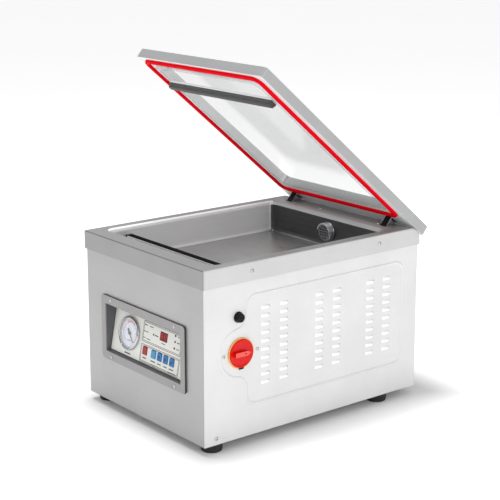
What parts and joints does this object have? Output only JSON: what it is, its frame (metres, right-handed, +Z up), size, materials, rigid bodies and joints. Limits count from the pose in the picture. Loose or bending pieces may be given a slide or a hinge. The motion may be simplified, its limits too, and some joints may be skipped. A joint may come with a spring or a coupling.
{
  "type": "vacuum packing machine",
  "caption": "Tabletop chamber vacuum packing machine: steel cabinet, sprung clear lid with a red gasket, lifting seal bar, recessed control panel with a dial gauge, and a pump set inside.",
  "frame": {"origin": "on the table under the middle of the whole object's box, with the lid open", "axes": "+Z up, -Y towards the front with the control panel, +X towards the side with the main switch"},
  "size_m": [0.3356, 0.4732, 0.5872],
  "materials": {
    "brushed_steel": "brushed, satin",
    "pale_steel": "pale satin steel, almost white in soft light",
    "zinc_steel": "zinc plated",
    "chrome": "bright polished",
    "cast_iron": "painted casting",
    "lid_aluminium": "satin grey",
    "bar_aluminium": "extruded, satin",
    "clear_acrylic": "clear, polished",
    "gauge_glass": "clear",
    "red_silicone": "smooth silicone",
    "grey_silicone": "smooth silicone",
    "black_rubber": "moulded",
    "black_metal": "satin black",
    "black_plastic": "moulded",
    "slate_paint": "satin grey",
    "panel_film": "printed film on a plate",
    "red_plastic": "moulded",
    "yellow_plastic": "moulded",
    "blue_plastic": "moulded key",
    "display_red": "tinted window",
    "board_green": "printed circuit board",
    "dial_white": "printed dial",
    "heater_tape": "coated glass cloth tape",
    "brass": "machined"
  },
  "bodies": {
    "cabinet": {"base_pan": "zinc_steel", "front_panel": "brushed_steel", "right_side_panel": "pale_steel", "left_side_panel": "pale_steel", "rear_panel": "brushed_steel", "top_deck": "brushed_steel", "chamber_tub": "brushed_steel", "foot_front_left": "black_rubber", "foot_front_right": "black_rubber", "foot_rear_left": "black_rubber", "foot_rear_right": "black_rubber", "control_bezel": "slate_paint", "control_recess": "slate_paint", "control_plate": "panel_film", "display_window": "display_red", "control_board": "board_green", "gauge_bezel": "chrome", "gauge_dial": "dial_white", "gauge_lens": "gauge_glass", "gauge_case": "zinc_steel", "main_switch_plate": "yellow_plastic", "main_switch_body": "black_plastic", "fuse_holder": "black_plastic", "seal_cylinder_left": "zinc_steel", "seal_cylinder_right": "zinc_steel", "vacuum_port": "zinc_steel", "hinge_bracket_left": "zinc_steel", "hinge_bracket_right": "zinc_steel", "hinge_pin_left": "chrome", "hinge_pin_right": "chrome", "lid_spring_left": "zinc_steel", "lid_spring_right": "zinc_steel", "vacuum_pump": "cast_iron", "pump_motor": "cast_iron", "transformer": "zinc_steel", "solenoid_valve": "brass", "vacuum_hose": "black_rubber", "cord_gland": "black_plastic", "exhaust_port": "black_plastic"},
    "lid": {"lid_frame": "lid_aluminium", "lid_window": "clear_acrylic", "lid_gasket": "red_silicone", "pressure_bar_holder": "bar_aluminium", "pressure_bar_pad": "grey_silicone", "hinge_arm_left": "black_metal", "hinge_arm_right": "black_metal"},
    "seal_bar": {"seal_bar": "bar_aluminium", "seal_tape": "heater_tape", "seal_piston_left": "chrome", "seal_piston_right": "chrome"},
    "switch_knob": {"main_switch_knob": "red_plastic"},
    "needle": {"gauge_needle": "black_metal"},
    "fan": {"motor_fan": "black_plastic"},
    "stop_key": {"stop_button": "red_plastic"},
    "set_key": {"set_button": "blue_plastic"},
    "up_key": {"up_button": "blue_plastic"},
    "down_key": {"down_button": "blue_plastic"},
    "enter_key": {"enter_button": "blue_plastic"}
  },
  "joints": [
    {"name": "lid_hinge", "type": "hinge", "parent": "cabinet", "child": "lid", "pos_m": [-0.0028, 0.195, 0.2866], "axis": [1, 0, 0], "range_deg": [0, 40.18], "stiffness_Nm_per_rad": 3.6, "springref_deg": -103.13},
    {"name": "seal_bar_lift", "type": "slide", "parent": "cabinet", "child": "seal_bar", "axis": [0, 0, 1], "range_m": [0, 0.0038], "stiffness_N_per_m": 900, "springref_m": -0.004},
    {"name": "main_switch_turn", "type": "hinge", "parent": "cabinet", "child": "switch_knob", "pos_m": [0.1672, -0.1641, 0.1521], "axis": [1, 0, 0], "range_deg": [0, 90]},
    {"name": "gauge_needle_turn", "type": "hinge", "parent": "cabinet", "child": "needle", "pos_m": [-0.0578, -0.22139, 0.14057], "axis": [0, -0.9833, 0.1822], "range_deg": [0, 250], "stiffness_Nm_per_rad": 0.0005, "springref_deg": -17.19},
    {"name": "motor_fan_spin", "type": "hinge", "parent": "cabinet", "child": "fan", "pos_m": [0.0272, 0.1005, 0.088], "axis": [0, 1, 0], "continuous": true},
    {"name": "stop_press", "type": "slide", "parent": "cabinet", "child": "stop_key", "axis": [0, 0.9833, -0.1822], "range_m": [0, 0.001], "stiffness_N_per_m": 700, "springref_m": -0.0005},
    {"name": "set_press", "type": "slide", "parent": "cabinet", "child": "set_key", "axis": [0, 0.9833, -0.1822], "range_m": [0, 0.001], "stiffness_N_per_m": 700, "springref_m": -0.0005},
    {"name": "up_press", "type": "slide", "parent": "cabinet", "child": "up_key", "axis": [0, 0.9833, -0.1822], "range_m": [0, 0.001], "stiffness_N_per_m": 700, "springref_m": -0.0005},
    {"name": "down_press", "type": "slide", "parent": "cabinet", "child": "down_key", "axis": [0, 0.9833, -0.1822], "range_m": [0, 0.001], "stiffness_N_per_m": 700, "springref_m": -0.0005},
    {"name": "enter_press", "type": "slide", "parent": "cabinet", "child": "enter_key", "axis": [0, 0.9833, -0.1822], "range_m": [0, 0.001], "stiffness_N_per_m": 700, "springref_m": -0.0005}
  ]
}
